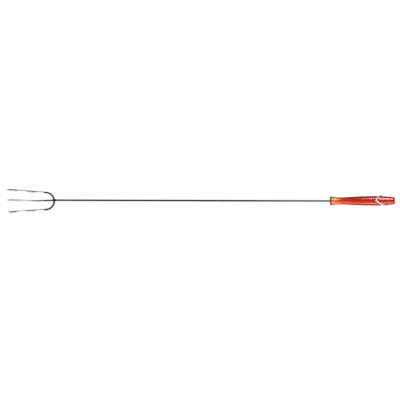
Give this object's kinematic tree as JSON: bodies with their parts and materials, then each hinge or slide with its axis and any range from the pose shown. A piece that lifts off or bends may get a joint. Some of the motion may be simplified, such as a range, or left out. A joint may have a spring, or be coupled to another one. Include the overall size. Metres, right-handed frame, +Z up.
{
  "type": "campfire roasting fork",
  "caption": "Long slim fork for roasting food over a fire: steel shaft, pointed tines on a welded bow, turned red wooden handle and a hitched cotton hanging loop.",
  "frame": {"origin": "on the surface that the fork lies on, under the middle of the box round its steel and wood", "axes": "+X along the shaft from the tines to the handle's butt, +Z up from the surface; the shaft rises 1.0 degree towards the handle, because the handle is propped on the knot of its loop"},
  "size_m": [0.9143, 0.0558, 0.0337],
  "materials": {
    "black_steel": "fire-blackened steel rod, dark near the tines and greyer towards the handle",
    "tine_steel": "tinned bright on the tines, fire-blackened on the bow",
    "weld": "as-welded, blackened",
    "lacquered_wood": "red-stained turned wood under glossy clear lacquer, amber at the front flare",
    "cotton_cord": "twisted natural cotton, matte"
  },
  "bodies": {
    "fork": {"shaft": "black_steel", "tine_bow": "tine_steel", "centre_tine": "tine_steel", "weld_bead": "weld", "handle": "lacquered_wood", "cord_hitch": "cotton_cord"},
    "hang_loop": {"cord_strand_a": "cotton_cord", "cord_strand_b": "cotton_cord", "cord_knot": "cotton_cord"}
  },
  "joints": [
    {"name": "loop_swing", "type": "hinge", "parent": "fork", "child": "hang_loop", "pos_m": [0.41215, 0.00068, 0.00634], "axis": [0, 0, 1], "range_deg": [-175, 175]}
  ]
}
